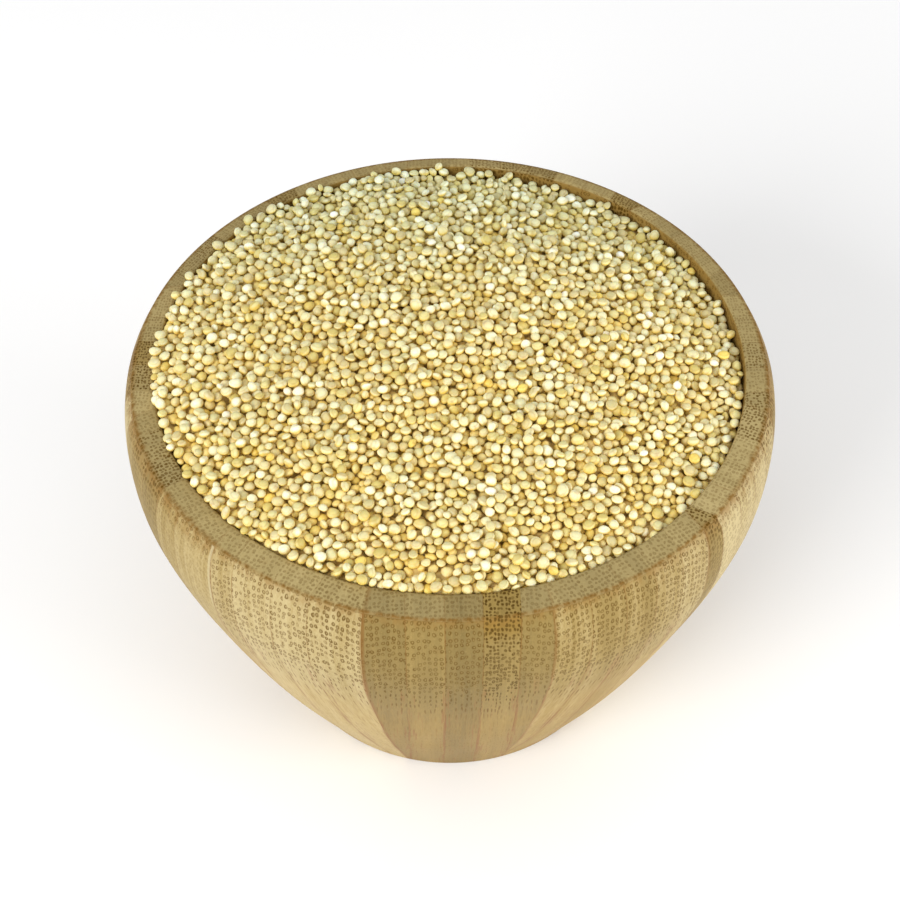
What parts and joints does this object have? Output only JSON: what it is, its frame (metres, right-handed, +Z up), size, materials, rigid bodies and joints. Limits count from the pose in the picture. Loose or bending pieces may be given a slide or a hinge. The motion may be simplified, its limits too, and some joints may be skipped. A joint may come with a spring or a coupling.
{
  "type": "bowl of quinoa",
  "caption": "Deep turned bamboo bowl with a flat rim, heaped above the rim with dry white quinoa grains.",
  "frame": {"origin": "centre of the bowl's flat foot, on the surface it stands on", "axes": "+Z up along the axis of the bowl's outside; the picture looks along +Y and down, with +X to its right; the hollow's own axis is a little towards +Y"},
  "size_m": [0.1206, 0.1206, 0.0891],
  "materials": {
    "bamboo": "satin lacquered laminated bamboo, tan, with brown bundle marks",
    "quinoa": "dry seeds, cream to pale yellow, slightly satin"
  },
  "bodies": {
    "root": {"bowl": "bamboo", "quinoa": "quinoa"}
  },
  "joints": []
}
